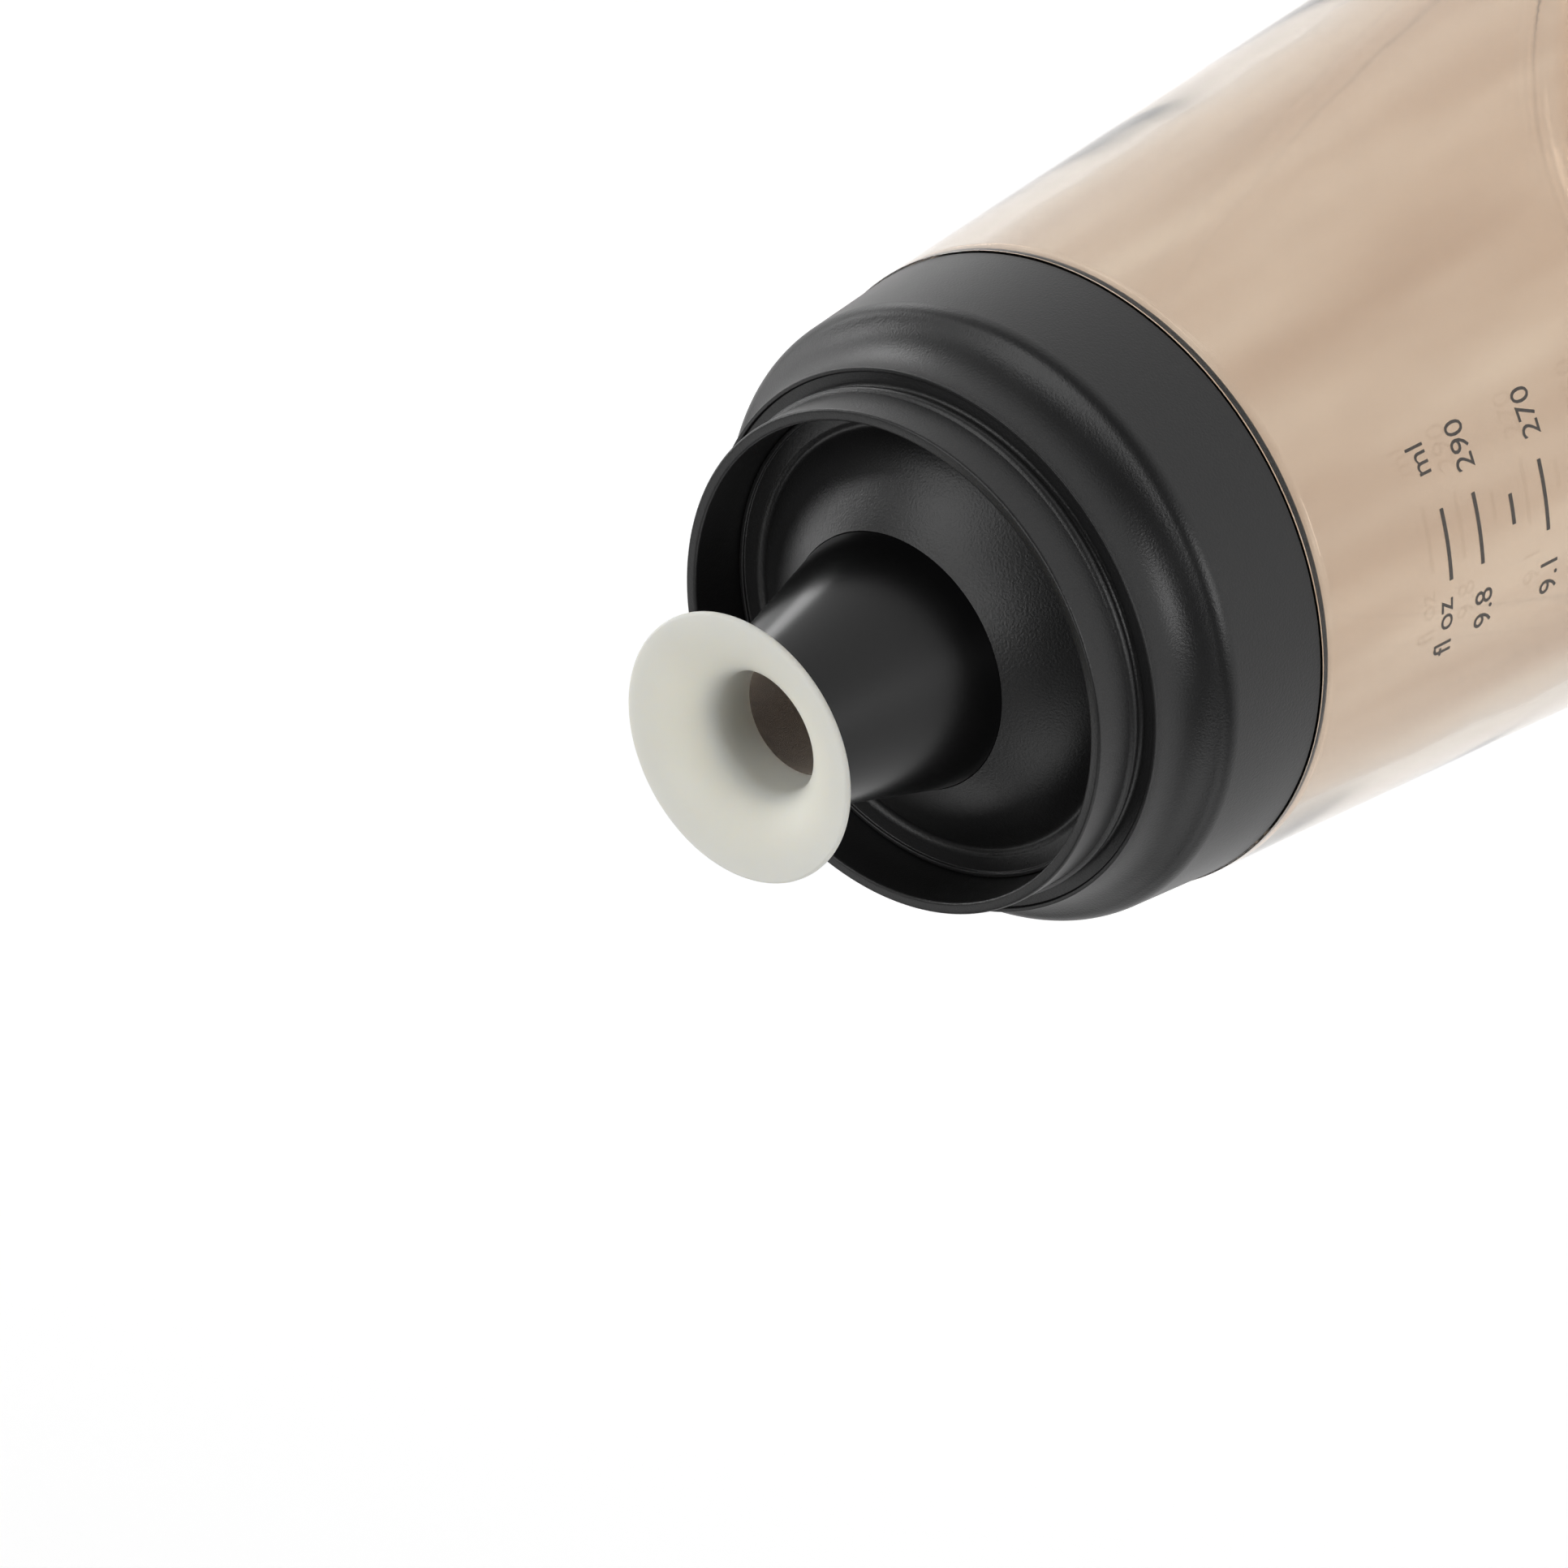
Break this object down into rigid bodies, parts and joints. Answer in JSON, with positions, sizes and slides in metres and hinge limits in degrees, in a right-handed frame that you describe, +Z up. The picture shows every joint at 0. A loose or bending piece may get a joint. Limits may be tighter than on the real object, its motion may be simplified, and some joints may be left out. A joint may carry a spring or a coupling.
{
  "type": "salad dressing shaker bottle",
  "caption": "Clear tapered shaker beaker with a screw-on black pouring lid: drip dish, conical spout and a flared soft pouring lip.",
  "frame": {"origin": "middle of the beaker's underside, on the plane that the bottle stands on", "axes": "+Z up along the bottle's axis towards the pouring lip; -Y is the front, which carries the printed scale"},
  "size_m": [0.0734, 0.0734, 0.1562],
  "materials": {
    "clear_plastic": "clear, polished, faint warm tint",
    "matte_black_plastic": "fine matte moulded texture",
    "satin_black_plastic": "satin, smooth moulded",
    "white_silicone": "soft matte, slightly translucent",
    "seal_silicone": "soft matte"
  },
  "bodies": {
    "beaker": {"beaker": "clear_plastic"},
    "lid_lift": {"lid_seal": "seal_silicone"},
    "lid": {"lid_collar": "matte_black_plastic", "insert_seal": "seal_silicone", "drip_dish": "matte_black_plastic", "spout": "satin_black_plastic"},
    "lip": {"pour_lip": "white_silicone"}
  },
  "joints": [
    {"name": "lid_rise", "type": "slide", "parent": "beaker", "child": "lid_lift", "axis": [0, 0, 1], "range_m": [0, 0.008]},
    {"name": "lid_turn", "type": "hinge", "parent": "lid_lift", "child": "lid", "pos_m": [0, 0, 0.1163], "axis": [0, 0, 1], "range_deg": [0, 720]},
    {"name": "lip_pull", "type": "slide", "parent": "lid", "child": "lip", "axis": [0, 0, 1], "range_m": [0, 0.006]}
  ],
  "couplings": [
    {"joint": "lid_turn", "follows": "lid_rise", "rad_per_m": 1570.8}
  ]
}
